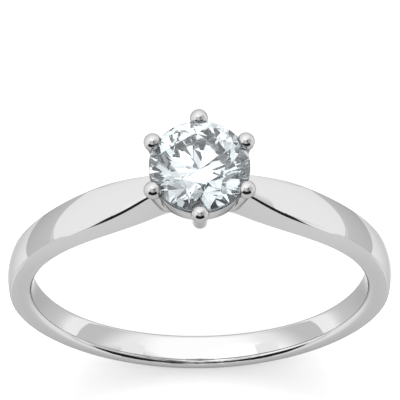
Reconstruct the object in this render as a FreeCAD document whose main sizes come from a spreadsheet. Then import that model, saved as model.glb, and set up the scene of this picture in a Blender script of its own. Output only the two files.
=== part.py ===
"""Six-claw solitaire engagement ring in polished white gold, set with one round brilliant.

The row frame is in millimetres. The origin is the centre of the finger hole, +Y runs along the
finger, and +Z points up through the middle of the stone.

The ring is put together as it is at the bench. The shank is one forged and filed hoop: low domed
on the outside, flat on the inside, thinnest at the bottom, widest in the shoulders and pinched
where the shoulders sweep up to the head. The head is a peg base, a lower rail, a gallery rail and
six claw wires that are let into all three. The stone lies in a notch cut in each claw, and a bead
on each claw holds it down.
"""
import FreeCAD, Part
import os
import Sketcher
from FreeCAD import Placement, Rotation, Vector

doc = FreeCAD.newDocument("SolitaireRing")


# ---------------------------------------------------------------- driving sizes, mm and degrees
SIZES = [
    ("finger_diameter", 17.3, "finger hole, a common ladies' size"),
    ("crown_share", 0.085, "height of the shank's dome as a share of its width there"),
    ("edge_ease", 0.12, "easing of the two finger-hole edges"),
    # The shank's sections. wall is the flank's height above the finger hole, foot the width at
    # the finger, top the width where the flank meets the dome, turn the angle from the bottom.
    ("base_wall", 0.76, "bottom of the shank"),
    ("base_foot", 1.66, "bottom of the shank"),
    ("base_top", 1.62, "bottom of the shank"),
    ("lower_turn", 42, "lower quarter"),
    ("lower_wall", 1.00, "lower quarter"),
    ("lower_foot", 1.54, "lower quarter"),
    ("lower_top", 1.50, "lower quarter"),
    ("side_turn", 86, "side of the finger"),
    ("side_wall", 1.18, "side of the finger"),
    ("side_foot", 1.74, "side of the finger"),
    ("side_top", 1.66, "side of the finger"),
    ("upper_turn", 116, "start of the shoulder"),
    ("upper_wall", 1.02, "start of the shoulder"),
    ("upper_foot", 2.22, "start of the shoulder"),
    ("upper_top", 1.84, "start of the shoulder"),
    ("shoulder_turn", 140, "widest part of the shoulder"),
    ("shoulder_wall", 0.95, "widest part of the shoulder"),
    ("shoulder_foot", 2.64, "widest part of the shoulder"),
    ("shoulder_top", 2.02, "widest part of the shoulder"),
    ("rise_turn", 154, "where the shoulder turns up"),
    ("rise_wall", 1.20, "where the shoulder turns up"),
    ("rise_foot", 2.50, "where the shoulder turns up"),
    ("rise_top", 1.96, "where the shoulder turns up"),
    ("neck_turn", 163, "pinched neck"),
    ("neck_wall", 1.66, "pinched neck"),
    ("neck_foot", 2.00, "pinched neck"),
    ("neck_top", 1.48, "pinched neck"),
    ("tip_turn", 170, "tip of the shoulder at the head"),
    ("tip_wall", 2.12, "tip of the shoulder at the head"),
    ("tip_foot", 1.42, "tip of the shoulder at the head"),
    ("tip_top", 1.02, "tip of the shoulder at the head"),
    ("bridge_wall", 0.75, "metal left under the head, above the finger hole"),
    ("bridge_foot", 1.20, "width of the bridge under the head"),
    ("stone_diameter", 5.0, "round brilliant, about half a carat"),
    ("girdle_thickness", 0.13, "height of the girdle at the main facets"),
    ("table_share", 0.57, "table across its corners as a share of the stone's diameter"),
    ("crown_angle", 34.5, "slope of the crown's main facets"),
    ("pavilion_angle", 40.75, "slope of the pavilion's main facets"),
    ("star_share", 0.52, "reach of the star facets from the table to the girdle"),
    ("lower_half_share", 0.77, "reach of the lower half facets from the girdle to the culet"),
    ("stone_lift", 3.65, "height of the girdle's middle above the finger hole's top"),
    ("claw_wire", 0.78, "diameter of the claw wire"),
    ("claw_bead", 0.85, "diameter of the bead that holds the stone"),
    ("claw_overhang", 0.16, "bead's centre outside the girdle"),
    ("bead_lift", 0.06, "bead's centre above the girdle's middle"),
    ("claw_lean", 18, "lean of the claw's leg away from upright"),
    ("claw_leg", 2.15, "length of the claw's straight leg"),
    ("claw_bend", 0.8, "bending radius of the claw below its leg"),
    ("claw_sweep", 60, "angle that the claw turns inwards through"),
    ("gallery_overhang", 0.01, "gallery rail's top edge outside the girdle"),
    ("gallery_gap", 0.14, "gallery rail's bearing below the pavilion, measured upright"),
    ("gallery_height", 0.96, "outer wall of the gallery rail"),
    ("gallery_draft", 0.10, "how far the outer wall draws in towards its bottom"),
    ("gallery_width", 0.80, "width of the gallery rail's underside"),
    ("rail_width", 0.55, "width of the lower rail, outwards"),
    ("rail_height", 0.50, "height of the lower rail"),
    ("rail_ease", 0.14, "easing of the lower rail's four edges"),
    ("rail_radius", 1.66, "radius of the lower rail's centre line"),
    ("rail_lift", 1.15, "lower rail's centre line above the bridge"),
    ("base_rim", 1.50, "radius of the head base's rim"),
    ("base_floor", 1.00, "radius of the head base where it stands on the bridge"),
    ("base_height", 0.60, "height of the head base above the bridge"),
    ("peg_diameter", 0.90, "peg that goes through the bridge"),
    ("pocket_margin", 0.20, "clear width of the head's pocket outside the lower rail's centre line"),
]
sheet = doc.addObject("Spreadsheet::Sheet", "Sizes")
for row, (alias, value, meaning) in enumerate(SIZES, start=1):
    sheet.set(f"A{row}", meaning)
    sheet.set(f"B{row}", str(value))
    sheet.setAlias(f"B{row}", alias)
doc.recompute()


def worked_out(expression):
    """The present value of an expression that uses the sheet."""
    value = sheet.evalExpression(expression)
    return float(getattr(value, "Value", value))


# Heights and radii that several pieces share, written once in terms of the sheet.
FINGER = "Sizes.finger_diameter / 2"
BRIDGE_TOP = f"({FINGER} + Sizes.bridge_wall)"
GIRDLE = f"({FINGER} + Sizes.stone_lift)"
GIRDLE_TOP = f"({GIRDLE} + Sizes.girdle_thickness / 2)"
GIRDLE_BOTTOM = f"({GIRDLE} - Sizes.girdle_thickness / 2)"
STONE_RADIUS = "Sizes.stone_diameter / 2"
RAIL_HEIGHT = f"({BRIDGE_TOP} + Sizes.rail_lift)"


# ---------------------------------------------------------------- helpers for sketches and features
def make_body(name):
    return doc.addObject("PartDesign::Body", name)


def origin_feature(body, role):
    return next(feature for feature in body.Origin.OriginFeatures if feature.Role == role)


def attach(item, body, plane, turn_axis=None, turn=None, lift=None, shift=None):
    """Lays an item on one of its body's origin planes, turned and moved by expressions."""
    item.AttachmentSupport = [(origin_feature(body, plane), "")]
    item.MapMode = "FlatFace"
    if turn_axis is not None:
        item.AttachmentOffset = Placement(Vector(), Rotation(turn_axis, worked_out(turn)))
        item.setExpression("AttachmentOffset.Rotation.Angle", turn)
    if shift is not None:
        item.setExpression("AttachmentOffset.Base.x", shift)
    if lift is not None:
        item.setExpression("AttachmentOffset.Base.z", lift)


def pin_point(sketch, edge, end, tag, x, y):
    """Holds an edge's end at two coordinates, each an expression on the sheet."""
    for axis, expression in (("X", x), ("Y", y)):
        value = worked_out(expression)
        constraint = Sketcher.Constraint(f"Distance{axis}", -1, 1, edge, end, value)
        sketch.renameConstraint(sketch.addConstraint(constraint), f"{tag}_{axis}")
        sketch.setExpression(f"Constraints.{tag}_{axis}", expression)


def polygon(sketch, corners):
    """Closed outline through named corners, each an (x, y) pair of expressions."""
    points = [Vector(worked_out(x), worked_out(y), 0) for x, y in corners]
    count = len(points)
    for k in range(count):
        sketch.addGeometry(Part.LineSegment(points[k], points[(k + 1) % count]), False)
    for k in range(count):
        sketch.addConstraint(Sketcher.Constraint("Coincident", k, 2, (k + 1) % count, 1))
    for k, (x, y) in enumerate(corners):
        pin_point(sketch, k, 1, f"corner{k}", x, y)


def circle(sketch, diameter):
    """A circle round the sketch's origin."""
    sketch.addGeometry(Part.Circle(Vector(), Vector(0, 0, 1), worked_out(diameter) / 2), False)
    pin_point(sketch, 0, 3, "centre", "0", "0")
    constraint = Sketcher.Constraint("Diameter", 0, worked_out(diameter))
    sketch.renameConstraint(sketch.addConstraint(constraint), "across")
    sketch.setExpression("Constraints.across", diameter)


def new_sketch(body, name, plane, **where):
    sketch = body.newObject("Sketcher::SketchObject", name)
    attach(sketch, body, plane, **where)
    return sketch


def revolve(body, name, corners):
    """A turned piece: its half section in the XZ plane, turned round Z."""
    sketch = new_sketch(body, f"{name}_profile", "XZ_Plane")
    polygon(sketch, corners)
    turned = body.newObject("PartDesign::Revolution", name)
    turned.Profile = sketch
    turned.ReferenceAxis = (origin_feature(body, "Z_Axis"), [""])
    turned.Angle = 360
    return turned


def cut_away(body, name, sketch, both_ways=True, upwards=False):
    """A pocket right through the body: both ways from its sketch, or to one side of it."""
    pocket = body.newObject("PartDesign::Pocket", name)
    pocket.Profile = sketch
    pocket.Type = "ThroughAll"
    if both_ways:
        pocket.Midplane = True
    else:
        pocket.Reversed = upwards
    return pocket


def cut_with(label, base, tools):
    """base less each of the tools, as one named sub-part."""
    result = base
    for k, tool in enumerate(tools):
        cut = doc.addObject("Part::Cut", f"{label}_less_{k}")
        cut.Base = result
        cut.Tool = tool
        result = cut
    result.Label = label
    return result


# ---------------------------------------------------------------- the stone
# The rough is bruted to a cylinder, then each tier of facets is ground as one flat cut that is
# repeated round the stone: 8 mains, 8 stars and 16 upper halves on the crown, and 8 mains and 16
# lower halves on the pavilion, which end in a pointed culet.
TABLE_RADIUS = f"({STONE_RADIUS} * Sizes.table_share)"
TABLE_TOP = f"({GIRDLE_TOP} + ({STONE_RADIUS} - {TABLE_RADIUS}) * tan(Sizes.crown_angle))"
PAVILION_DEPTH = f"({STONE_RADIUS} * tan(Sizes.pavilion_angle))"
CULET = f"({GIRDLE_BOTTOM} - {PAVILION_DEPTH})"
HALF_STEP = 22.5        # degrees from a main facet to the star beside it
QUARTER_STEP = 11.25    # degrees from a main facet to the half facet beside it
GRINDING_MARGIN = 1     # how far each cutting outline reaches past the rough, mm

# The star's tip lies on the edge between two mains, and the lower halves meet on a like edge.
STAR_RADIUS = (f"({TABLE_RADIUS} * cos({HALF_STEP}) + Sizes.star_share"
               f" * ({STONE_RADIUS} - {TABLE_RADIUS} * cos({HALF_STEP})))")
STAR_HEIGHT = (f"({GIRDLE_TOP} + ({STONE_RADIUS} - {STAR_RADIUS} * cos({HALF_STEP}))"
               f" * tan(Sizes.crown_angle))")
LOWER_RADIUS = f"({STONE_RADIUS} * (1 - Sizes.lower_half_share))"
LOWER_HEIGHT = (f"({GIRDLE_BOTTOM} - ({STONE_RADIUS} - {LOWER_RADIUS} * cos({HALF_STEP}))"
                f" * tan(Sizes.pavilion_angle))")

FAR = f"({STONE_RADIUS} + {GRINDING_MARGIN})"
ABOVE = f"({TABLE_TOP} + {GRINDING_MARGIN})"
BELOW = f"({CULET} - {GRINDING_MARGIN})"


def grind(body, name, azimuth, repeats, steep_point, flat_point, limit):
    """One tier of facets. The wheel's plane holds two points, given as (radius, height), and
    takes off all that lies between that plane and the far corner at the limit's height."""
    (r_a, z_a), (r_b, z_b) = steep_point, flat_point
    slope = f"(({z_b} - {z_a}) / ({r_b} - {r_a}))"
    sketch = new_sketch(body, f"{name}_plane", "XZ_Plane", turn_axis=Vector(0, 1, 0), turn=str(azimuth))
    polygon(sketch, [
        (f"{r_a} + ({limit} - {z_a}) / {slope}", limit),
        (FAR, f"{z_a} + ({FAR} - {r_a}) * {slope}"),
        (FAR, limit),
    ])
    facet = cut_away(body, f"{name}_facet", sketch)
    ring = body.newObject("PartDesign::PolarPattern", f"{name}_facets")
    ring.Originals = [facet]
    ring.Axis = (origin_feature(body, "Z_Axis"), [""])
    ring.Angle = 360
    ring.Occurrences = repeats
    body.Tip = ring
    doc.recompute()


def make_stone():
    body = make_body("Stone")
    revolve(body, "rough", [("0", BELOW), (STONE_RADIUS, BELOW), (STONE_RADIUS, TABLE_TOP), ("0", TABLE_TOP)])
    doc.recompute()
    quarter_radius = f"({STONE_RADIUS} * cos({QUARTER_STEP}))"
    grind(body, "pavilion_main", 0, 8, (STONE_RADIUS, GIRDLE_BOTTOM), ("0", CULET), BELOW)
    grind(body, "lower_half", QUARTER_STEP, 16, (quarter_radius, GIRDLE_BOTTOM),
          (f"({LOWER_RADIUS} * cos({QUARTER_STEP}))", LOWER_HEIGHT), BELOW)
    grind(body, "crown_main", 0, 8, (STONE_RADIUS, GIRDLE_TOP), (TABLE_RADIUS, TABLE_TOP), ABOVE)
    grind(body, "star", HALF_STEP, 8, (STAR_RADIUS, STAR_HEIGHT),
          (f"({TABLE_RADIUS} * cos({HALF_STEP}))", TABLE_TOP), ABOVE)
    grind(body, "upper_half", QUARTER_STEP, 16, (quarter_radius, GIRDLE_TOP),
          (f"({STAR_RADIUS} * cos({QUARTER_STEP}))", STAR_HEIGHT), ABOVE)
    body.Label = "diamond"
    return body


# ---------------------------------------------------------------- the claws
# Each claw is a drawn wire: a straight leg that leans out beside the stone, a bend that takes its
# foot into the base, and a bead burnished over the stone's edge. The stone cuts its own notch.
BEAD_RADIUS = f"({STONE_RADIUS} + Sizes.claw_overhang)"
BEAD_HEIGHT = f"({GIRDLE} + Sizes.bead_lift)"
KNEE_RADIUS = f"({BEAD_RADIUS} - Sizes.claw_leg * sin(Sizes.claw_lean))"
KNEE_HEIGHT = f"({BEAD_HEIGHT} - Sizes.claw_leg * cos(Sizes.claw_lean))"
BEND_CENTRE_RADIUS = f"({KNEE_RADIUS} - Sizes.claw_bend * cos(Sizes.claw_lean))"
BEND_CENTRE_HEIGHT = f"({KNEE_HEIGHT} + Sizes.claw_bend * sin(Sizes.claw_lean))"
FOOT_TURN = "(Sizes.claw_lean + Sizes.claw_sweep)"
FOOT_RADIUS = f"({BEND_CENTRE_RADIUS} + Sizes.claw_bend * cos({FOOT_TURN}))"
FOOT_HEIGHT = f"({BEND_CENTRE_HEIGHT} - Sizes.claw_bend * sin({FOOT_TURN}))"

# Evenly spaced, anticlockwise seen from above, with one at the front and none over a shoulder.
CLAW_NAMES = [
    "claw_right_back",
    "claw_back",
    "claw_left_back",
    "claw_left_front",
    "claw_front",
    "claw_right_front",
]


def claw_path(body):
    """The wire's centre line in the body's XZ plane, from the bead down to the foot."""
    sketch = new_sketch(body, "centre_line", "XZ_Plane")
    bead = Vector(worked_out(BEAD_RADIUS), worked_out(BEAD_HEIGHT), 0)
    knee = Vector(worked_out(KNEE_RADIUS), worked_out(KNEE_HEIGHT), 0)
    foot = Vector(worked_out(FOOT_RADIUS), worked_out(FOOT_HEIGHT), 0)
    centre = Vector(worked_out(BEND_CENTRE_RADIUS), worked_out(BEND_CENTRE_HEIGHT), 0)
    to_knee, to_foot = knee - centre, foot - centre
    halfway = centre + (to_knee + to_foot).normalize() * to_knee.Length
    sketch.addGeometry(Part.LineSegment(bead, knee), False)
    sketch.addGeometry(Part.Arc(foot, halfway, knee), False)
    pin_point(sketch, 0, 1, "bead", BEAD_RADIUS, BEAD_HEIGHT)
    pin_point(sketch, 0, 2, "knee", KNEE_RADIUS, KNEE_HEIGHT)
    sketch.addConstraint(Sketcher.Constraint("Coincident", 0, 2, 1, 2))
    pin_point(sketch, 1, 1, "foot", FOOT_RADIUS, FOOT_HEIGHT)
    radius = Sketcher.Constraint("Radius", 1, worked_out("Sizes.claw_bend"))
    sketch.renameConstraint(sketch.addConstraint(radius), "bend")
    sketch.setExpression("Constraints.bend", "Sizes.claw_bend")
    return sketch


def make_claw(label, azimuth, stone):
    body = make_body(f"{label}_wire")
    path = claw_path(body)
    section = new_sketch(body, "wire_section", "XY_Plane", turn_axis=Vector(0, 1, 0),
                         turn="Sizes.claw_lean", shift=BEAD_RADIUS, lift=BEAD_HEIGHT)
    circle(section, "Sizes.claw_wire")
    doc.recompute()
    wire = body.newObject("PartDesign::AdditivePipe", "wire")
    wire.Profile = section
    wire.Spine = (path, ["Edge1", "Edge2"])
    bead = body.newObject("PartDesign::AdditiveSphere", "bead")
    attach(bead, body, "XY_Plane", shift=BEAD_RADIUS, lift=BEAD_HEIGHT)
    bead.setExpression("Radius", "Sizes.claw_bead / 2")
    doc.recompute()
    body.Placement = Placement(Vector(), Rotation(Vector(0, 0, 1), azimuth))
    return cut_with(label, body, [stone])


# ---------------------------------------------------------------- the rails and the head's base
def make_gallery_rail(claws):
    """The deep rail under the girdle. Its bearing slopes with the pavilion, just clear of it."""
    slope = "tan(Sizes.pavilion_angle)"
    top_radius = f"({STONE_RADIUS} + Sizes.gallery_overhang)"
    top_height = f"({GIRDLE_BOTTOM} + Sizes.gallery_overhang * {slope} - Sizes.gallery_gap)"
    bottom_radius = f"({top_radius} - Sizes.gallery_draft)"
    bottom_height = f"({top_height} - Sizes.gallery_height)"
    inner_radius = f"({bottom_radius} - Sizes.gallery_width)"
    body = make_body("GalleryRing")
    revolve(body, "gallery_ring", [
        (bottom_radius, bottom_height),
        (top_radius, top_height),
        (inner_radius, f"{top_height} - ({top_radius} - {inner_radius}) * {slope}"),
        (inner_radius, bottom_height),
    ])
    return cut_with("gallery_rail", body, claws)


def make_lower_rail(claws):
    """A ring with eased edges that ties the claws together where the shoulders meet the head."""
    outer = "(Sizes.rail_radius + Sizes.rail_width / 2)"
    inner = "(Sizes.rail_radius - Sizes.rail_width / 2)"
    top = f"({RAIL_HEIGHT} + Sizes.rail_height / 2)"
    bottom = f"({RAIL_HEIGHT} - Sizes.rail_height / 2)"
    ease = "Sizes.rail_ease"
    body = make_body("LowerRing")
    revolve(body, "lower_ring", [
        (f"{inner} + {ease}", bottom),
        (f"{outer} - {ease}", bottom),
        (outer, f"{bottom} + {ease}"),
        (outer, f"{top} - {ease}"),
        (f"{outer} - {ease}", top),
        (f"{inner} + {ease}", top),
        (inner, f"{top} - {ease}"),
        (inner, f"{bottom} + {ease}"),
    ])
    return cut_with("lower_rail", body, claws)


def make_head_base(claws):
    """The turned foot of the head, with the peg that is soldered through the bridge."""
    rim_top = f"({BRIDGE_TOP} + Sizes.base_height)"
    rim_bottom = f"({BRIDGE_TOP} + Sizes.base_height / 2)"
    peg_radius = "Sizes.peg_diameter / 2"
    body = make_body("PegBase")
    revolve(body, "peg_base", [
        ("0", f"{FINGER} / 2"),
        (peg_radius, f"{FINGER} / 2"),
        (peg_radius, BRIDGE_TOP),
        ("Sizes.base_floor", BRIDGE_TOP),
        ("Sizes.base_rim", rim_bottom),
        ("Sizes.base_rim", rim_top),
        ("0", rim_top),
    ])
    finger = new_sketch(body, "finger_hole", "XZ_Plane")
    circle(finger, "Sizes.finger_diameter")
    doc.recompute()
    cut_away(body, "finger_trim", finger)
    return cut_with("head_base", body, claws)


# ---------------------------------------------------------------- the shank
# The hoop is lofted right round through its sections, so that it flows through the bottom, and
# starts and ends in the middle of the head, where the pocket hides the joint. One half is kept,
# bored for the finger and eased along its two finger edges, then mirrored into the whole.
FORGING_STOCK = 0.3     # metal inside the finger hole that the boring takes away, mm

STATIONS = [
    ("tip", "Sizes.tip_turn"),
    ("neck", "Sizes.neck_turn"),
    ("rise", "Sizes.rise_turn"),
    ("shoulder", "Sizes.shoulder_turn"),
    ("upper", "Sizes.upper_turn"),
    ("side", "Sizes.side_turn"),
    ("lower", "Sizes.lower_turn"),
]


def hoop_section(body, name, turn, wall, foot, top):
    """One D-shaped section, square to the hoop. turn is its angle from the bottom."""
    sketch = new_sketch(body, f"{name}_section", "YZ_Plane", turn_axis=Vector(1, 0, 0), turn=f"180 - {turn}")
    inner_half = f"({foot} / 2 + ({foot} - {top}) / 2 * {FORGING_STOCK} / {wall})"
    outer_half = f"({top} / 2)"
    inner = f"({FINGER} - {FORGING_STOCK})"
    outer = f"({FINGER} + {wall})"
    crown = f"({top} * Sizes.crown_share)"
    y_in, y_out = worked_out(inner_half), worked_out(outer_half)
    z_in, z_out = worked_out(inner), worked_out(outer)
    summit = Vector(0, z_out + worked_out(crown), 0)
    sketch.addGeometry(Part.LineSegment(Vector(-y_in, z_in, 0), Vector(y_in, z_in, 0)), False)
    sketch.addGeometry(Part.LineSegment(Vector(y_in, z_in, 0), Vector(y_out, z_out, 0)), False)
    sketch.addGeometry(Part.Arc(Vector(y_out, z_out, 0), summit, Vector(-y_out, z_out, 0)), False)
    sketch.addGeometry(Part.LineSegment(Vector(-y_out, z_out, 0), Vector(-y_in, z_in, 0)), False)
    sketch.addConstraint(Sketcher.Constraint("Coincident", 0, 2, 1, 1))
    sketch.addConstraint(Sketcher.Constraint("Coincident", 1, 2, 2, 1))
    sketch.addConstraint(Sketcher.Constraint("Coincident", 2, 2, 3, 1))
    sketch.addConstraint(Sketcher.Constraint("Coincident", 3, 2, 0, 1))
    pin_point(sketch, 0, 1, "left_foot", f"-{inner_half}", inner)
    pin_point(sketch, 0, 2, "right_foot", inner_half, inner)
    pin_point(sketch, 1, 2, "right_edge", outer_half, outer)
    pin_point(sketch, 3, 1, "left_edge", f"-{outer_half}", outer)
    radius = f"({outer_half} * {outer_half} + {crown} * {crown}) / (2 * {crown})"
    dome = Sketcher.Constraint("Radius", 2, worked_out(radius))
    sketch.renameConstraint(sketch.addConstraint(dome), "dome")
    sketch.setExpression("Constraints.dome", radius)
    return sketch


def sized_section(body, name, turn, size):
    return hoop_section(body, name, turn, f"Sizes.{size}_wall", f"Sizes.{size}_foot", f"Sizes.{size}_top")


def finger_edges(shape):
    """The edges where the flanks meet the finger hole: on its radius, on one side or the other."""
    on_radius = [
        all(abs(Vector(point.x, 0, point.z).Length - worked_out(FINGER)) < 1e-3 for point in edge.discretize(5))
        for edge in shape.Edges
    ]
    return [
        f"Edge{number}"
        for number, (edge, kept) in enumerate(zip(shape.Edges, on_radius), start=1)
        if kept and abs(edge.CenterOfMass.y) > 0.1 * worked_out("Sizes.base_foot")
    ]


def make_shank(head_pieces):
    body = make_body("Hoop")
    sections = [hoop_section(body, "middle", "180", "Sizes.tip_wall", "Sizes.bridge_foot", "Sizes.tip_top")]
    sections += [sized_section(body, f"left_{size}", turn, size) for size, turn in STATIONS]
    sections.append(sized_section(body, "base", "0", "base"))
    sections += [sized_section(body, f"right_{size}", f"-{turn}", size) for size, turn in reversed(STATIONS)]
    doc.recompute()
    hoop = body.newObject("PartDesign::AdditiveLoft", "hoop")
    hoop.Profile = sections[0]
    hoop.Sections = sections[1:]
    hoop.Closed = True
    doc.recompute()

    far = "Sizes.finger_diameter"
    other_half = new_sketch(body, "other_half", "XZ_Plane")
    polygon(other_half, [(f"-{far}", f"-{far}"), ("0", f"-{far}"), ("0", far), (f"-{far}", far)])
    finger_circle = new_sketch(body, "finger_circle", "XZ_Plane")
    circle(finger_circle, "Sizes.finger_diameter")
    doc.recompute()
    cut_away(body, "halving", other_half)
    bored = cut_away(body, "finger_hole", finger_circle)
    doc.recompute()

    easing = body.newObject("PartDesign::Chamfer", "finger_edges")
    easing.Base = (bored, finger_edges(bored.Shape))
    easing.setExpression("Size", "Sizes.edge_ease")
    whole = body.newObject("PartDesign::Mirrored", "whole_hoop")
    whole.TransformMode = "Whole shape"
    whole.MirrorPlane = (origin_feature(body, "YZ_Plane"), [""])
    body.Tip = whole
    doc.recompute()

    head_circle = new_sketch(body, "head_circle", "XY_Plane", lift=BRIDGE_TOP)
    circle(head_circle, "2 * (Sizes.rail_radius + Sizes.pocket_margin)")
    peg_circle = new_sketch(body, "peg_circle", "XY_Plane")
    circle(peg_circle, "Sizes.peg_diameter")
    doc.recompute()
    cut_away(body, "head_pocket", head_circle, both_ways=False, upwards=True)
    cut_away(body, "peg_hole", peg_circle, both_ways=False, upwards=True)
    doc.recompute()
    return cut_with("shank", body, head_pieces)


# ---------------------------------------------------------------- build, check and write
# Pieces that touch are soldered face to face: each one is cut by the pieces let into it, so
# the stone notches the claws, the claws notch the rails and the base, and all notch the shank.
stone = make_stone()
claws = []
for number, name in enumerate(CLAW_NAMES):
    claws.append(make_claw(name, (number + 0.5) * 360 / len(CLAW_NAMES), stone))
gallery_rail = make_gallery_rail(claws)
lower_rail = make_lower_rail(claws)
head_base = make_head_base(claws)
shank = make_shank([head_base, lower_rail] + claws)
doc.recompute()

subparts = [shank, head_base, lower_rail, gallery_rail, *claws, stone]
for item in doc.Objects:
    if "Invalid" in item.State or "Error" in item.State:
        raise RuntimeError(f"{item.Label} failed: {item.State}")
    if item.TypeId == "PartDesign::Pocket" and item.Shape.Volume > item.BaseFeature.Shape.Volume - 1e-6:
        raise RuntimeError(f"{item.Label} cut nothing")
for subpart in subparts:
    shape = subpart.Shape
    if shape.isNull() or not shape.isValid() or len(shape.Solids) != 1:
        raise RuntimeError(f"{subpart.Label} is not one sound solid")

os.makedirs("parts", exist_ok=True)
for subpart in subparts:
    subpart.Shape.exportStep(f"parts/{subpart.Label}.step")
    box = subpart.Shape.optimalBoundingBox()
    size = f"{box.XLength:.2f} x {box.YLength:.2f} x {box.ZLength:.2f} mm"
    print(f"{subpart.Label:18s} {size:26s} {subpart.Shape.Volume:8.3f} mm3")
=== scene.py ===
"""The look of a six-claw solitaire ring: polished white metal and one round brilliant.

Everything is in metres, in the ring's own frame: the origin is the centre of the finger hole, +Y runs
along the finger and +Z points up through the middle of the stone. The sections follow the bench: the
stone, the claws that hold it, the two rails, the base and the hoop. Then come the table, the cards, the
light tent and the camera.
"""

from math import atan2, cos, degrees, hypot, pi, radians, sin, tan

import bmesh
import bpy
import numpy as np
from mathutils import Matrix, Vector


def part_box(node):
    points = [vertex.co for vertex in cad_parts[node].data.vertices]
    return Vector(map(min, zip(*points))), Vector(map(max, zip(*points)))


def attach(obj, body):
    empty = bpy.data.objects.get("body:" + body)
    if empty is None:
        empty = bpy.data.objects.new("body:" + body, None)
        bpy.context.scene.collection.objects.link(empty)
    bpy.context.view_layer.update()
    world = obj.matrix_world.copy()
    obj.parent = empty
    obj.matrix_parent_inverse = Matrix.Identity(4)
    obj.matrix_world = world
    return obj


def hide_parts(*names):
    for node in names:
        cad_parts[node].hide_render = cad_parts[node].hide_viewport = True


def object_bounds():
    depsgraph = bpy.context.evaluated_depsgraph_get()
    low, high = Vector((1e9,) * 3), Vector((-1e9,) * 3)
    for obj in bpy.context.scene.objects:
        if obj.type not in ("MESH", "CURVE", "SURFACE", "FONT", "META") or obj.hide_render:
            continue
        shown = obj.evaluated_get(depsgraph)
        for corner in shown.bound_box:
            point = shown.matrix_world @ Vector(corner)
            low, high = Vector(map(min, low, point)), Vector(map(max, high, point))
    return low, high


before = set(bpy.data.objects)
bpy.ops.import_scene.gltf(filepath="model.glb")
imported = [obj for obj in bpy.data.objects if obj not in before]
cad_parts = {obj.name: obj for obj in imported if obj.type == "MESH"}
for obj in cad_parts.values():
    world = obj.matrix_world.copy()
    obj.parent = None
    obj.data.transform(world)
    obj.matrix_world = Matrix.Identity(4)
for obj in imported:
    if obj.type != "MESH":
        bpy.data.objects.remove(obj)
cad_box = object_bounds()

# ---------------------------------------------------------------- diamond
# A round brilliant of half a carat, clear and almost without colour. It is bruted to a cylinder and
# then ground flat by flat on a lap, 33 facets above the girdle and 24 below, down to a pointed culet.
# It lies in a notch in each claw.
MM = 0.001
SAME_POINT = 1e-8
ON_PLANE = 1e-9

stone_low, stone_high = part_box("diamond")
STONE_RADIUS = (stone_high.x - stone_low.x) / 2
CULET_HEIGHT, TABLE_HEIGHT = stone_low.z, stone_high.z
TABLE_RADIUS = 0.57 * STONE_RADIUS
CROWN_ANGLE, PAVILION_ANGLE = radians(34.5), radians(40.75)
STAR_REACH, LOWER_HALF_REACH = 0.52, 0.77
GIRDLE_TOP = TABLE_HEIGHT - (STONE_RADIUS - TABLE_RADIUS) * tan(CROWN_ANGLE)
GIRDLE_BOTTOM = CULET_HEIGHT + STONE_RADIUS * tan(PAVILION_ANGLE)
GIRDLE_BLUR = 0.02 * MM
GIRDLE_SEGMENTS = 160
MAINS, HALVES = 8, 16
HALF_STEP, QUARTER_STEP = pi / MAINS, pi / HALVES
STONE_TURN = radians(9)
CLEAR_TINT = (0.575, 0.635, 0.665, 1)
BRUTED_TINT = (0.12, 0.13, 0.14, 1)
BRUTED_ROUGHNESS, LAP_ROUGHNESS = 0.22, 0.004
# A pattern's grain is its scale, per metre, and its detail.
LAP_GRAIN = (2500.0, 3.0)


def new_piece(name, bm, material, smooth=True, sharp_angle=None):
    """Turns a bmesh into a finished object at the origin."""
    mesh = bpy.data.meshes.new(name)
    bm.to_mesh(mesh)
    bm.free()
    for polygon in mesh.polygons:
        polygon.use_smooth = smooth
    if sharp_angle is not None:
        mesh.set_sharp_from_angle(angle=sharp_angle)
    piece = bpy.data.objects.new(name, mesh)
    bpy.context.scene.collection.objects.link(piece)
    mesh.materials.append(material)
    return piece


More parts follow.
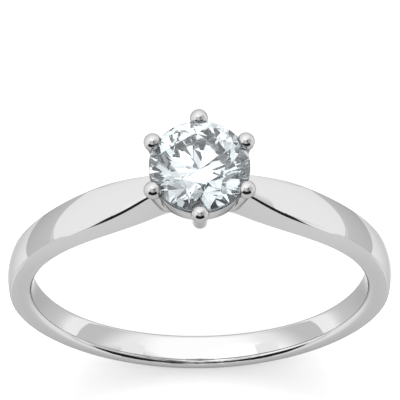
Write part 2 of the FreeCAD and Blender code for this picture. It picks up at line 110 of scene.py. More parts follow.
class Signal:
    """An output of a shader node. Sums and products on it add Math nodes."""

    def __init__(self, tree, socket=None):
        self.tree = tree
        self.socket = socket

    def node(self, kind, settings=None, inputs=None, output=0):
        """Adds a node: its settings first, then the values or links of its sockets."""
        made = self.tree.nodes.new(kind)
        for name, value in (settings or {}).items():
            setattr(made, name, value)
        for name, value in (inputs or {}).items():
            if isinstance(value, Signal):
                self.tree.links.new(value.socket, made.inputs[name])
            else:
                made.inputs[name].default_value = value
        return Signal(self.tree, made.outputs[output] if made.outputs else None)

    def math(self, operation, *values):
        inputs = dict(enumerate(values))
        return self.node("ShaderNodeMath", {"operation": operation}, inputs)

    def __add__(self, other):
        return self.math("ADD", self, other)

    def __sub__(self, other):
        return self.math("SUBTRACT", self, other)

    def __rsub__(self, other):
        return self.math("SUBTRACT", other, self)

    def __mul__(self, other):
        return self.math("MULTIPLY", self, other)

    def __truediv__(self, other):
        return self.math("DIVIDE", self, other)

    def __pow__(self, other):
        return self.math("POWER", self, other)

    def __abs__(self):
        return self.math("ABSOLUTE", self)

    __radd__ = __add__
    __rmul__ = __mul__

    def larger(self, other):
        return self.math("MAXIMUM", self, other)

    def smaller(self, other):
        return self.math("MINIMUM", self, other)

    def dot(self, vector):
        settings = {"operation": "DOT_PRODUCT"}
        return self.node("ShaderNodeVectorMath", settings, {0: self, 1: vector}, output="Value")

    def place(self):
        """The point on the piece, in the ring's own frame."""
        return self.node("ShaderNodeTexCoord", output="Object")

    def parts(self):
        """The three numbers of a vector."""
        split = self.node("ShaderNodeSeparateXYZ", inputs={0: self})
        return [Signal(self.tree, socket) for socket in split.socket.node.outputs]

    def noise(self, scale, detail):
        """Cloudy noise at the points of a vector."""
        return self.node("ShaderNodeTexNoise", inputs={"Vector": self, "Scale": scale, "Detail": detail})

    def band(self, low, high):
        """0 up to low, 1 from high on, and smooth between."""
        settings = {"interpolation_type": "SMOOTHSTEP"}
        return self.node("ShaderNodeMapRange", settings, {0: self, 1: low, 2: high, 3: 0.0, 4: 1.0})

    def mix(self, first, second):
        """The first colour where the signal is 0, the second where it is 1."""
        inputs = {0: self, 6: first, 7: second}
        return self.node("ShaderNodeMix", {"data_type": "RGBA"}, inputs, output=2)

    def grey(self):
        """A colour with the signal as its red, green and blue."""
        return self.node("ShaderNodeCombineColor", inputs={0: self, 1: self, 2: self})


def new_material(name):
    """An empty node material, and the signal that its nodes are made from."""
    material = bpy.data.materials.new(name)
    material.use_nodes = True
    material.node_tree.nodes.clear()
    return material, Signal(material.node_tree)


def finish_material(start, shader):
    start.node("ShaderNodeOutputMaterial", inputs={"Surface": shader})


def diamond_material():
    """Clear between the polished facets, and frosted on the bruted girdle."""
    material, start = new_material("polished_diamond")
    place = start.place()
    height = place.parts()[2]
    above_bottom = height.band(GIRDLE_BOTTOM - GIRDLE_BLUR, GIRDLE_BOTTOM + GIRDLE_BLUR)
    below_top = 1 - height.band(GIRDLE_TOP - GIRDLE_BLUR, GIRDLE_TOP + GIRDLE_BLUR)
    bruted = above_bottom * below_top
    lap_marks = place.noise(*LAP_GRAIN)
    shader = start.node("ShaderNodeBsdfPrincipled", inputs={
        "Base Color": bruted.mix(CLEAR_TINT, BRUTED_TINT),
        "Roughness": bruted * BRUTED_ROUGHNESS + lap_marks * LAP_ROUGHNESS,
        "IOR": 2.417,
        "Specular Tint": (0.55, 0.56, 0.57, 1),
        "Transmission Weight": 1.0,
    })
    finish_material(start, shader)
    return material


def grind_facet(bm, azimuth, girdle_point, far_point):
    """Takes off what lies outside a plane through two (radius, height) points at an azimuth."""
    (near_radius, near_height), (far_radius, far_height) = girdle_point, far_point
    outwards = Vector((cos(azimuth), sin(azimuth), 0))
    upwards = Vector((0, 0, 1 if far_height > near_height else -1))
    normal = outwards * abs(far_height - near_height) + upwards * abs(far_radius - near_radius)
    point = outwards * near_radius + Vector((0, 0, near_height))
    everything = bm.verts[:] + bm.edges[:] + bm.faces[:]
    cut = bmesh.ops.bisect_plane(
        bm, geom=everything, dist=ON_PLANE, plane_co=point, plane_no=normal.normalized(), clear_outer=True)
    rim = [item for item in cut["geom_cut"] if isinstance(item, bmesh.types.BMEdge)]
    bmesh.ops.edgeloop_fill(bm, edges=rim)


def grind_tier(bm, start_azimuth, count, girdle_point, far_point):
    """Grinds the same facet round the stone."""
    for k in range(count):
        grind_facet(bm, STONE_TURN + start_azimuth + 2 * pi * k / count, girdle_point, far_point)


stone_mesh = bmesh.new()
rough_height = TABLE_HEIGHT - CULET_HEIGHT
bmesh.ops.create_cone(
    stone_mesh, cap_ends=True, segments=GIRDLE_SEGMENTS, radius1=STONE_RADIUS, radius2=STONE_RADIUS,
    depth=rough_height, matrix=Matrix.Translation((0, 0, (TABLE_HEIGHT + CULET_HEIGHT) / 2)))

table_side = TABLE_RADIUS * cos(HALF_STEP)
star_radius = table_side + STAR_REACH * (STONE_RADIUS - table_side)
star_height = GIRDLE_TOP + (STONE_RADIUS - star_radius * cos(HALF_STEP)) * tan(CROWN_ANGLE)
lower_radius = STONE_RADIUS * (1 - LOWER_HALF_REACH)
lower_height = GIRDLE_BOTTOM - (STONE_RADIUS - lower_radius * cos(HALF_STEP)) * tan(PAVILION_ANGLE)
quarter_radius = STONE_RADIUS * cos(QUARTER_STEP)
# Below the girdle: the mains, then the lower halves.
grind_tier(stone_mesh, 0, MAINS, (STONE_RADIUS, GIRDLE_BOTTOM), (0, CULET_HEIGHT))
grind_tier(stone_mesh, QUARTER_STEP, HALVES, (quarter_radius, GIRDLE_BOTTOM),
           (lower_radius * cos(QUARTER_STEP), lower_height))
# Above it: the mains, the stars round the table, then the upper halves.
grind_tier(stone_mesh, 0, MAINS, (STONE_RADIUS, GIRDLE_TOP), (TABLE_RADIUS, TABLE_HEIGHT))
grind_tier(stone_mesh, HALF_STEP, MAINS, (star_radius, star_height), (table_side, TABLE_HEIGHT))
grind_tier(stone_mesh, QUARTER_STEP, HALVES, (quarter_radius, GIRDLE_TOP),
           (star_radius * cos(QUARTER_STEP), star_height))
bmesh.ops.remove_doubles(stone_mesh, verts=stone_mesh.verts[:], dist=SAME_POINT)
bmesh.ops.recalc_face_normals(stone_mesh, faces=stone_mesh.faces[:])
diamond = new_piece("round_brilliant", stone_mesh, diamond_material(), smooth=False)
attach(diamond, "root")
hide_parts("diamond")

# ---------------------------------------------------------------- claws
# Six drawn wires of rhodium-plated white gold. Each has a notch filed for the stone's edge, and its
# end is rounded to a bead and pushed over the crown. They lean out, and bend inwards to the base.
STONE_LIFT = (GIRDLE_TOP + GIRDLE_BOTTOM) / 2
BEAD_RADIUS = 0.455 * MM
WIRE_RADIUS = 0.385 * MM
BEAD_CENTRE = Vector((STONE_RADIUS + 0.16 * MM, 0, STONE_LIFT + 0.06 * MM))
NECK_ANGLE = radians(118)
NECK_LENGTH = 0.30 * MM
CLAW_LEAN = radians(18)
CLAW_LEG = 2.15 * MM
CLAW_BEND = 0.8 * MM
CLAW_SWEEP = radians(60)
BEAD_STEPS, WIRE_STEPS, BEND_STEPS = 14, 48, 20
FIRST_CLAW = radians(30)
CLAW_NAMES = [
    "claw_right_back", "claw_back", "claw_left_back", "claw_left_front", "claw_front", "claw_right_front"]
# A mop can't reach inside the basket of claws, so that keeps the marks of the file, which leave it
# rougher. Its colour there is painted light and shade: dark patches among pale ones.
BASKET_FLOOR = 9.7 * MM
BASKET_BLUR = 0.3 * MM
BASKET_PAINTED_SHADE, BASKET_PAINTED_LIGHT = (0.12, 0.13, 0.14, 1), (0.95, 0.96, 0.97, 1)
FILED_ROUGHNESS = 0.5
POLISHED_ROUGHNESS = 0.03
# The head's metal is painted darker than the shank's, as painted shade: both are the same rhodium-plated
# white gold.
HEAD_TONE_PAINTED_DARKER = 0.455
TONE_SPREAD = 0.015
HEAD_LAY = (1, 1, 0.2)
HAIRLINE_GRAIN, HANDLING_GRAIN = (9000.0, 2.0), (420.0, 4.0)
PLATING_GRAIN, BASKET_PAINT_GRAIN = (160.0, 1.0), (800.0, 1.0)


def white_gold_material(name, tone, lay):
    """Rhodium over white gold. lay stretches the polishing marks along each axis."""
    material, start = new_material(name)
    place = start.place()
    x, y, z = place.parts()
    claw_line = BEAD_CENTRE.x - (BEAD_CENTRE.z - z) * tan(CLAW_LEAN)
    within_claws = (claw_line - (x * x + y * y) ** 0.5).band(0.02 * MM, BASKET_BLUR)
    above_floor = z.band(BASKET_FLOOR, BASKET_FLOOR + BASKET_BLUR)
    below_stone = 1 - z.band(GIRDLE_BOTTOM - 0.2 * MM, GIRDLE_BOTTOM)
    inside = within_claws * above_floor * below_stone
    along = start.node("ShaderNodeMapping", inputs={"Vector": place, "Scale": lay})
    hairlines = along.noise(*HAIRLINE_GRAIN)
    handling = place.noise(*HANDLING_GRAIN)
    dark, light = tone * (1 - TONE_SPREAD), tone * (1 + TONE_SPREAD)
    plating = place.noise(*PLATING_GRAIN).mix((dark, dark, dark, 1), (light, light, light, 1))
    # Painted light and shade inside the basket: pale metal broken by dark patches.
    filed = place.noise(*BASKET_PAINT_GRAIN).band(0.40, 0.45).mix(BASKET_PAINTED_SHADE, BASKET_PAINTED_LIGHT)
    polished_roughness = POLISHED_ROUGHNESS + hairlines * 0.02 + handling.band(0.5, 0.75) * 0.035
    bump = start.node("ShaderNodeBump", inputs={
        "Height": hairlines * 0.6 + handling * 0.4, "Strength": 0.03, "Distance": 0.002 * MM})
    shader = start.node("ShaderNodeBsdfPrincipled", inputs={
        "Base Color": inside.mix(plating, filed),
        "Metallic": 1.0,
        "Specular Tint": (0.55, 0.55, 0.55, 1),
        "Roughness": polished_roughness + inside * FILED_ROUGHNESS,
        "Normal": bump,
    })
    finish_material(start, shader)
    return material


head_metal = white_gold_material("polished_head_white_gold", HEAD_TONE_PAINTED_DARKER, HEAD_LAY)


def apply_cut(piece, cutter):
    """Files away the cutter's shape and keeps the result as the piece's own mesh."""
    cut = piece.modifiers.new("seat", "BOOLEAN")
    cut.operation = "DIFFERENCE"
    cut.solver = "MANIFOLD"
    cut.object = cutter
    shaped = bpy.data.meshes.new_from_object(piece.evaluated_get(bpy.context.evaluated_depsgraph_get()))
    piece.modifiers.clear()
    piece.data = shaped


def spin_round(bm, geom, steps, axis=(0, 0, 1)):
    """Turns an outline once round an axis through the origin and closes the seam and the poles."""
    bmesh.ops.spin(bm, geom=geom, cent=(0, 0, 0), axis=axis, angle=2 * pi, steps=steps, use_merge=True)
    bmesh.ops.remove_doubles(bm, verts=bm.verts[:], dist=SAME_POINT)


def make_claw(name, azimuth):
    """A claw made upright on Z with its bead's centre at the origin, then leant and set in place."""
    bm = bmesh.new()
    profile = [Vector((BEAD_RADIUS * sin(angle), 0, BEAD_RADIUS * cos(angle)))
               for angle in np.linspace(0, NECK_ANGLE, BEAD_STEPS)]
    bead_end = profile[-1].copy()
    # The bead flows into the wire through a short hollow neck.
    for share in (0.25, 0.5, 0.75, 1.0):
        blend = share * share * (3 - 2 * share)
        radius = bead_end.x * (1 - blend) + WIRE_RADIUS * blend
        profile.append(Vector((radius, 0, bead_end.z - NECK_LENGTH * share)))
    profile.append(Vector((WIRE_RADIUS, 0, -CLAW_LEG)))
    verts = [bm.verts.new(point) for point in profile]
    edges = [bm.edges.new(pair) for pair in zip(verts, verts[1:])]
    spin_round(bm, verts + edges, WIRE_STEPS)
    rim = [edge for edge in bm.edges if edge.is_boundary]
    bent = bmesh.ops.spin(
        bm, geom=rim, cent=(-CLAW_BEND, 0, -CLAW_LEG), axis=(0, 1, 0), angle=CLAW_SWEEP, steps=BEND_STEPS)
    foot = [edge for edge in bent["geom_last"] if isinstance(edge, bmesh.types.BMEdge)]
    bmesh.ops.edgeloop_fill(bm, edges=foot)
    bmesh.ops.recalc_face_normals(bm, faces=bm.faces[:])
    lean = Matrix.Rotation(CLAW_LEAN, 4, "Y")
    set_in_place = Matrix.Rotation(azimuth, 4, "Z") @ Matrix.Translation(BEAD_CENTRE) @ lean
    bmesh.ops.transform(bm, matrix=set_in_place, verts=bm.verts[:])
    claw = new_piece(f"beaded_{name}", bm, head_metal)
    apply_cut(claw, diamond)
    claw.data.set_sharp_from_angle(angle=radians(40))
    return claw


for number, claw_name in enumerate(CLAW_NAMES):
    claw = make_claw(claw_name, FIRST_CLAW + 2 * pi * number / len(CLAW_NAMES))
    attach(claw, "root")
    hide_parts(claw_name)

# ---------------------------------------------------------------- gallery rail and lower rail
# Two turned rings of the same metal. The deep one stands just under the girdle, and its bearing slopes
# with the stone. The narrow one ties the claws where the shoulders meet them.
RING_STEPS = 160
GALLERY_TAPER, GALLERY_WALL, GALLERY_EASE = 0.10 * MM, 0.80 * MM, 0.05 * MM
LOWER_RAIL_WALL, LOWER_RAIL_EASE = 0.55 * MM, 0.14 * MM


def turned_ring(name, corners, ease):
    """Spins a closed (radius, height) outline round Z and eases its edges."""
    bm = bmesh.new()
    verts = [bm.verts.new((radius, 0, height)) for radius, height in corners]
    edges = [bm.edges.new((verts[k - 1], verts[k])) for k in range(len(verts))]
    spin_round(bm, verts + edges, RING_STEPS)
    bmesh.ops.recalc_face_normals(bm, faces=bm.faces[:])
    hoops = [edge for edge in bm.edges
             if abs(edge.verts[0].co.z - edge.verts[1].co.z) < SAME_POINT
             and edge.calc_face_angle(0) > radians(20)]
    bmesh.ops.bevel(bm, geom=hoops, offset=ease, segments=4, affect="EDGES", profile=0.5, material=-1,
                    clamp_overlap=True)
    return new_piece(name, bm, head_metal, sharp_angle=radians(45))


def keep_wide_faces_even(piece):
    """Lets the wide faces keep their own normals, so that the eased edges alone look round."""
    even = piece.modifiers.new("even_polish", "WEIGHTED_NORMAL")
    even.keep_sharp = True
    even.weight = 100


gallery_low, gallery_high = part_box("gallery_rail")
gallery_top_radius = gallery_high.x
gallery_bottom_radius = gallery_top_radius - GALLERY_TAPER
gallery_inner_radius = gallery_bottom_radius - GALLERY_WALL
bearing_drop = (gallery_top_radius - gallery_inner_radius) * tan(PAVILION_ANGLE)
gallery_rail = turned_ring("pierced_gallery_rail", [
    (gallery_bottom_radius, gallery_low.z),
    (gallery_top_radius, gallery_high.z),
    (gallery_inner_radius, gallery_high.z - bearing_drop),
    (gallery_inner_radius, gallery_low.z),
], GALLERY_EASE)
keep_wide_faces_even(gallery_rail)
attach(gallery_rail, "root")
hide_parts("gallery_rail")

rail_low, rail_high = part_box("lower_rail")
rail_outer_radius = rail_high.x
rail_inner_radius = rail_outer_radius - LOWER_RAIL_WALL
lower_rail = turned_ring("narrow_lower_rail", [
    (rail_inner_radius, rail_low.z),
    (rail_outer_radius, rail_low.z),
    (rail_outer_radius, rail_high.z),
    (rail_inner_radius, rail_high.z),
], LOWER_RAIL_EASE)
keep_wide_faces_even(lower_rail)
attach(lower_rail, "root")
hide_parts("lower_rail")

# ---------------------------------------------------------------- head base
# The turned foot that all six claws run into. Its peg goes down through the bridge of the hoop, where
# it is soldered and polished flush with the finger hole, so only the cup shows.
FINGER_RADIUS = 8.65 * MM
BRIDGE_TOP = FINGER_RADIUS + 0.75 * MM
PEG_RADIUS, PEG_LENGTH = 0.45 * MM, 0.5 * MM
CUP_FOOT_RADIUS = 1.0 * MM
BASE_STEPS = 96

base_low, base_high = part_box("head_base")
cup_rim = base_high.x
base_mesh = bmesh.new()
base_outline = [
    (0, BRIDGE_TOP - PEG_LENGTH),
    (PEG_RADIUS, BRIDGE_TOP - PEG_LENGTH),
    (PEG_RADIUS, BRIDGE_TOP),
    (CUP_FOOT_RADIUS, BRIDGE_TOP),
    (cup_rim, (BRIDGE_TOP + base_high.z) / 2),
    (cup_rim, base_high.z),
    (0, base_high.z),
]
base_verts = [base_mesh.verts.new((radius, 0, height)) for radius, height in base_outline]
base_edges = [base_mesh.edges.new(pair) for pair in zip(base_verts, base_verts[1:])]
spin_round(base_mesh, base_verts + base_edges, BASE_STEPS)
bmesh.ops.recalc_face_normals(base_mesh, faces=base_mesh.faces[:])
head_base = new_piece("turned_head_base", base_mesh, head_metal, sharp_angle=radians(30))
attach(head_base, "root")
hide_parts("head_base")

# ---------------------------------------------------------------- shank
# One hoop of white gold, forged and filed. It is low domed outside and almost flat inside, thinnest at
# the bottom and widest in the shoulders, which are pinched where they sweep up to the head. Its four
# long edges are only just broken, and a round pocket is cut in its bridge for the head.
HOOP_STEPS = 720
POCKET_RADIUS = 1.86 * MM
POCKET_DEPTH = 4 * MM
POCKET_STEPS = 96
DOME_RISE = 0.17
COMFORT_DOME = 0.08
FLANK_BULGE = 0.055
FINGER_EASE = 0.078 * MM
OUTER_EASE = 0.085 * MM
SECTION_MATCH = 0.0001
# The shank's metal is painted lighter than the head's, as painted light: both are the same rhodium-plated
# white gold.
SHANK_TONE_PAINTED_LIGHTER = 0.53
SHANK_LAY = (1, 0.15, 1)
# Angle from the bottom in degrees, then wall, width at the finger and width at the outer edge in mm.
STATIONS = [
    (0, 0.76, 1.66, 1.62),
    (42, 1.00, 1.54, 1.50),
    (86, 1.18, 1.74, 1.66),
    (116, 1.02, 2.22, 1.84),
    (140, 0.95, 2.64, 2.02),
    (154, 1.20, 2.50, 1.96),
    (163, 1.66, 2.00, 1.48),
    (170, 2.12, 1.42, 1.02),
    (180, 2.12, 1.20, 1.02),
]


def flowing_curve(places, values):
    """A curve with even curvature through the values, level at both ends."""
    steps = np.diff(places)
    rises = np.diff(values) / steps
    count = len(places)
    matrix = np.eye(count)
    pull = np.zeros(count)
    for k in range(1, count - 1):
        before, after = steps[k - 1], steps[k]
        matrix[k, k - 1:k + 2] = after, 2 * (before + after), before
        pull[k] = 3 * (after * rises[k - 1] + before * rises[k])
    slopes = np.linalg.solve(matrix, pull)

    def curve(place):
        k = int(np.clip(np.searchsorted(places, place) - 1, 0, count - 2))
        width = steps[k]
        share = (place - places[k]) / width
        return (values[k] * (1 + 2 * share) * (1 - share) ** 2
                + values[k + 1] * share * share * (3 - 2 * share)
                + width * share * (1 - share) * (slopes[k] * (1 - share) - slopes[k + 1] * share))

    return curve


turns, walls, feet, tops = (np.array(column, float) for column in zip(*STATIONS))
wall_at, foot_at, top_at = (flowing_curve(turns, column) for column in (walls, feet, tops))

# The hoop is spun from a plain section, 2 wide and 1 high with a low dome, and then filed to size.
hoop_mesh = bmesh.new()
flank = np.linspace(0, 1, 9)
dome = np.linspace(1, -1, 25)[1:-1]
floor_line = np.linspace(-1, 1, 13)[1:-1]
outline = [(1, height) for height in flank]
outline += [(across, 1 + DOME_RISE * (1 - across * across)) for across in dome]
outline += [(-1, height) for height in flank[::-1]]
outline += [(across, 0) for across in floor_line]
hoop_verts = [hoop_mesh.verts.new((FINGER_RADIUS + height * MM, across * MM, 0))
              for across, height in outline]
hoop_edges = [hoop_mesh.edges.new((hoop_verts[k - 1], hoop_verts[k])) for k in range(len(hoop_verts))]
spin_round(hoop_mesh, hoop_verts + hoop_edges, HOOP_STEPS, axis=(0, 1, 0))


def section_place(vert):
    """Where a point of the spun hoop lies in its section: across the hoop, and up from the finger."""
    return vert.co.y / MM, (hypot(vert.co.x, vert.co.z) - FINGER_RADIUS) / MM


def corner_edges(bm, corner_height):
    """The edges that run along the hoop on the section's two corners at one height."""
    on_corner = set()
    for vert in bm.verts:
        across, height = section_place(vert)
        if abs(abs(across) - 1) < SECTION_MATCH and abs(height - corner_height) < SECTION_MATCH:
            on_corner.add(vert)
    return [edge for edge in bm.edges if on_corner.issuperset(edge.verts)]


finger_edges = corner_edges(hoop_mesh, 0)
outer_edges = corner_edges(hoop_mesh, 1)
for vert in hoop_mesh.verts:
    radius = hypot(vert.co.x, vert.co.z)
    turn = abs(degrees(atan2(vert.co.x, -vert.co.z)))
    across, height = section_place(vert)
    foot, top = foot_at(turn), top_at(turn)
    risen = min(height, 1)
    half = (foot + (top - foot) * risen) / 2 + FLANK_BULGE * 4 * risen * (1 - risen)
    inside = COMFORT_DOME * across * across * (1 - risen)
    filed = FINGER_RADIUS + (inside + wall_at(turn) * risen + max(height - 1, 0) * top / 2) * MM
    vert.co = Vector((vert.co.x * filed / radius, across * half * MM, vert.co.z * filed / radius))


def ease_edges(bm, edges, width, softness):
    """Files a narrow flat along each edge, then takes the two new corners off it."""
    flat = bmesh.ops.bevel(
        bm, geom=edges, offset=width, segments=1, affect="EDGES", profile=0.5, material=-1)
    faces = set(flat["faces"])
    corners = {edge for face in faces for edge in face.edges
               if edge.is_manifold and not faces.issuperset(edge.link_faces)}
    bmesh.ops.bevel(
        bm, geom=list(corners), offset=softness, segments=3, affect="EDGES", profile=0.5, material=-1)


ease_edges(hoop_mesh, finger_edges, FINGER_EASE, FINGER_EASE / 3)
ease_edges(hoop_mesh, outer_edges, OUTER_EASE, OUTER_EASE / 4)
bmesh.ops.recalc_face_normals(hoop_mesh, faces=hoop_mesh.faces[:])

shank_metal = white_gold_material("polished_shank_white_gold", SHANK_TONE_PAINTED_LIGHTER, SHANK_LAY)
shank = new_piece("domed_shank", hoop_mesh, shank_metal)

burr_mesh = bmesh.new()
bmesh.ops.create_cone(
    burr_mesh, cap_ends=True, segments=POCKET_STEPS, radius1=POCKET_RADIUS, radius2=POCKET_RADIUS,
    depth=POCKET_DEPTH, matrix=Matrix.Translation((0, 0, BRIDGE_TOP + POCKET_DEPTH / 2)))
burr = new_piece("head_pocket_burr", burr_mesh, shank_metal)
apply_cut(shank, burr)
bpy.data.objects.remove(burr)
shank.data.set_sharp_from_angle(angle=radians(35))
keep_wide_faces_even(shank)
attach(shank, "root")
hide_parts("shank")

# ---------------------------------------------------------------- table
# The ring stands on a pale matt table of opal sheet, lit from below. Its glow is even round the ring,
# brighter in two round pools out to the sides and in a small one under the front of the hoop.
TABLE_TOP = cad_box[0][2]
TABLE_HALF = 150 * MM
TABLE_GLOW = 0.48
TABLE_GRAIN = (300.0, 3.0)
POOL_X, POOL_Y, POOL_RADIUS, POOL_GLOW = 26 * MM, 15 * MM, 27 * MM, 0.50
FRONT_POOL_Y, FRONT_POOL_GLOW = -7 * MM, 0.35
FRONT_POOL_HALF_WIDTH, FRONT_POOL_HALF_DEPTH = 10.5 * MM, 5.5 * MM

table_material, start = new_material("matt_white_table")
place = start.place()
across, along, _ = place.parts()
from_right = ((across - POOL_X) ** 2 + (along - POOL_Y) ** 2) ** 0.5
from_left = ((across + POOL_X) ** 2 + (along - POOL_Y) ** 2) ** 0.5
beyond_right = from_right.band(0.6 * POOL_RADIUS, POOL_RADIUS)
beyond_left = from_left.band(0.6 * POOL_RADIUS, POOL_RADIUS)
front_reach = (across / FRONT_POOL_HALF_WIDTH) ** 2 + ((along - FRONT_POOL_Y) / FRONT_POOL_HALF_DEPTH) ** 2
in_front_pool = 1 - (front_reach ** 0.5).band(0.6, 1.05)
glow = (2 - beyond_right - beyond_left) * POOL_GLOW + TABLE_GLOW + in_front_pool * FRONT_POOL_GLOW
grain = place.noise(*TABLE_GRAIN)
finish_material(start, start.node("ShaderNodeBsdfPrincipled", inputs={
    "Base Color": grain.mix((0.46, 0.46, 0.46, 1), (0.47, 0.47, 0.47, 1)),
    "Roughness": 0.9,
    "Specular IOR Level": 0.0,
    "Emission Color": glow.grey(),
    "Emission Strength": 1.0,
}))
table_mesh = bmesh.new()
bmesh.ops.create_grid(table_mesh, x_segments=1, y_segments=1, size=TABLE_HALF,
                      matrix=Matrix.Translation((0, 0, TABLE_TOP)))
table = new_piece("table_top", table_mesh, table_material, smooth=False)

# ---------------------------------------------------------------- cards
# Four glowing cards stand round the ring, and only its polished faces show them. Two low grey ones
# behind it fade out upwards and shade the inside of the hoop. Two white ones light the shoulders.
GREY_CARD_DISTANCE, GREY_CARD_ANGLE = 27 * MM, radians(30)
GREY_CARD_START, GREY_CARD_END, GREY_CARD_TOP = -16 * MM, 21 * MM, 12 * MM
GREY_CARD_FADE = 11 * MM
CARD_LIGHT, LIT_FOOT_LIGHT = 0.96, 0.62
LIT_FOOT, LIT_FOOT_BLUR = -6.6 * MM, 0.15 * MM
WHITE_CARD_DISTANCE, WHITE_CARD_LIGHT = 14.6 * MM, 1.5
WHITE_CARD_START, WHITE_CARD_END = -3 * MM, 12 * MM
WHITE_CARD_BOTTOM, WHITE_CARD_TOP = 5.8 * MM, 14 * MM

grey_card, start = new_material("feathered_grey_card")
across, along, height = start.place().parts()
reach = along * cos(GREY_CARD_ANGLE) - abs(across) * sin(GREY_CARD_ANGLE)
cover = (1 - height.band(0, GREY_CARD_TOP)) * (1 - reach.band(GREY_CARD_FADE, GREY_CARD_END))
above_lit_foot = height.band(LIT_FOOT - LIT_FOOT_BLUR, LIT_FOOT + LIT_FOOT_BLUR)
card_light = CARD_LIGHT + LIT_FOOT_LIGHT * (1 - above_lit_foot)
finish_material(start, start.node("ShaderNodeMixShader", inputs={
    0: cover,
    1: start.node("ShaderNodeBsdfTransparent"),
    2: start.node("ShaderNodeEmission", inputs={"Color": card_light.grey(), "Strength": 1.0}),
}))
white_card, start = new_material("white_card")
finish_material(start, start.node("ShaderNodeEmission", inputs={
    "Color": (1.0, 1.0, 1.0, 1), "Strength": WHITE_CARD_LIGHT}))


def stand_card(name, material, side, distance, angle, ends, bottom, top):
    """Stands a card on one side of the ring, turned to face it, where only polished faces see it."""
    bm = bmesh.new()
    outwards = Vector((side * cos(angle), sin(angle), 0))
    sideways = Vector((-side * sin(angle), cos(angle), 0))
    foot = outwards * distance + Vector((0, 0, bottom))
    foot_verts = [bm.verts.new(foot + sideways * reach) for reach in ends]
    raised = bmesh.ops.extrude_edge_only(bm, edges=[bm.edges.new(foot_verts)])
    top_verts = [item for item in raised["geom"] if isinstance(item, bmesh.types.BMVert)]
    bmesh.ops.translate(bm, verts=top_verts, vec=(0, 0, top - bottom))
    card = new_piece(name, bm, material, smooth=False)
    card.visible_camera = False
    card.visible_diffuse = False
    card.visible_shadow = False


for side in (-1, 1):
    stand_card("grey_card", grey_card, side, GREY_CARD_DISTANCE, GREY_CARD_ANGLE,
               (GREY_CARD_START, GREY_CARD_END), TABLE_TOP, GREY_CARD_TOP)
    stand_card("white_card", white_card, side, WHITE_CARD_DISTANCE, 0,
               (WHITE_CARD_START, WHITE_CARD_END), WHITE_CARD_BOTTOM, WHITE_CARD_TOP)

# ---------------------------------------------------------------- light tent
# A tent of white cloth lit from outside, brightest at the left and high up behind, dimmer at the right.
# It is open at the front, and three small holes and a few dark folds overhead give the stone its dark
# splinters.
TENT_LIGHT = 1.5
LEFT_EXTRA, TOP_EXTRA, RIGHT_LOSS = 0.4, 0.35, 0.5
OPENING_LOW, OPENING_HIGH, OPENING_BLUR = sin(radians(-8)), sin(radians(32)), 0.02
OPENING_SIDE_OUTER, OPENING_SIDE_INNER = cos(radians(54)), cos(radians(50))
OPENING_DARKNESS = 0.98
FOLD_DARKNESS = 0.95
# Azimuth, elevation, and the angles where each round patch starts and stops fading, in degrees.
BRIGHT_LEFT, BRIGHT_TOP, DIM_RIGHT = (-165, 58, 18, 42), (90, 68, 22, 45), (-25, 40, 25, 40)
FOLDED_ROOF, SMOOTH_ROOF = (-90, 62, 36, 45), (90, 82, 20, 28)
HOLES = [(-56, 62, 8.5, 9.5), (-72, 40, 5, 6), (-105, 71, 3, 4)]

world = bpy.data.worlds.new("light_tent")
world.use_nodes = True
world.node_tree.nodes.clear()
tent = Signal(world.node_tree)
direction = tent.node("ShaderNodeTexCoord", output="Generated")


def towards(azimuth, elevation):
    """The unit vector of a direction: azimuth from +X towards +Y, elevation above the table."""
    azimuth, elevation = radians(azimuth), radians(elevation)
    return Vector((cos(azimuth) * cos(elevation), sin(azimuth) * cos(elevation), sin(elevation)))


def disc(azimuth, elevation, inner, outer):
    """1 within the inner angle of a direction, 0 beyond the outer angle."""
    return direction.dot(towards(azimuth, elevation)).band(cos(radians(outer)), cos(radians(inner)))


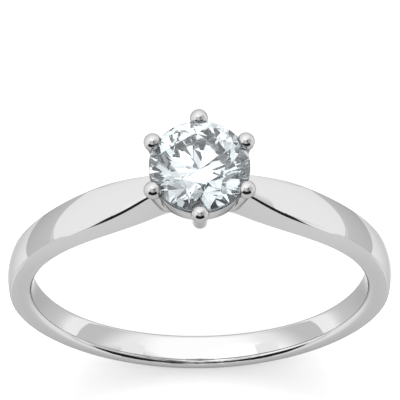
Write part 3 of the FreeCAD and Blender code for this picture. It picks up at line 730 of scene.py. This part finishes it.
sky_x, sky_y, sky_z = direction.parts()
frontness = (0 - sky_y) / (sky_x * sky_x + sky_y * sky_y) ** 0.5
above_sill = sky_z.band(OPENING_LOW - OPENING_BLUR, OPENING_LOW + OPENING_BLUR)
below_lintel = 1 - sky_z.band(OPENING_HIGH - OPENING_BLUR, OPENING_HIGH + OPENING_BLUR)
opening = above_sill * below_lintel * frontness.band(OPENING_SIDE_OUTER, OPENING_SIDE_INNER)
holes = disc(*HOLES[0])
for hole in HOLES[1:]:
    holes = holes.larger(disc(*hole))
overhead = disc(*FOLDED_ROOF) * (1 - disc(*SMOOTH_ROOF))
broad_folds = direction.noise(7.0, 1.0).band(0.50, 0.53)
fine_folds = direction.noise(17.0, 1.0).band(0.58, 0.59)
creases = direction.noise(34.0, 1.0).band(0.60, 0.61)
folds = (broad_folds * 0.2 + fine_folds * 0.8 + creases * 0.75) * overhead
tent_glow = TENT_LIGHT + disc(*BRIGHT_LEFT) * LEFT_EXTRA + disc(*BRIGHT_TOP) * TOP_EXTRA
tent_glow = tent_glow - disc(*DIM_RIGHT) * RIGHT_LOSS
tent_glow = tent_glow * (1 - folds.smaller(FOLD_DARKNESS))
tent_glow = tent_glow * (1 - opening * OPENING_DARKNESS) * (1 - holes * OPENING_DARKNESS)
tent_light = tent.node("ShaderNodeBackground", inputs={"Color": tent_glow.grey(), "Strength": 1.0})
tent.node("ShaderNodeOutputWorld", inputs={"Surface": tent_light})
bpy.context.scene.world = world

# ---------------------------------------------------------------- camera
# A long lens looks down at the ring from the front, far enough off that both sides look alike. Light
# may bounce often, since it turns many times inside the stone.
CAMERA_AIM = Vector((0.025, 0, 8.706)) * MM
CAMERA_PLACE = Vector((-0.961, -92.28, 186.14)) * MM
camera_data = bpy.data.cameras.new("camera")
camera_data.lens = 360.1
camera_data.sensor_width = 36
camera_data.clip_start = 5 * MM
camera_data.clip_end = 10
camera = bpy.data.objects.new("camera", camera_data)
camera.location = CAMERA_PLACE
camera.rotation_euler = (CAMERA_AIM - CAMERA_PLACE).to_track_quat("-Z", "Y").to_euler()
bpy.context.scene.collection.objects.link(camera)
bpy.context.scene.camera = camera

bpy.context.scene.view_settings.view_transform = "Standard"
bpy.context.scene.cycles.max_bounces = 24
bpy.context.scene.cycles.glossy_bounces = 16
bpy.context.scene.cycles.transmission_bounces = 16
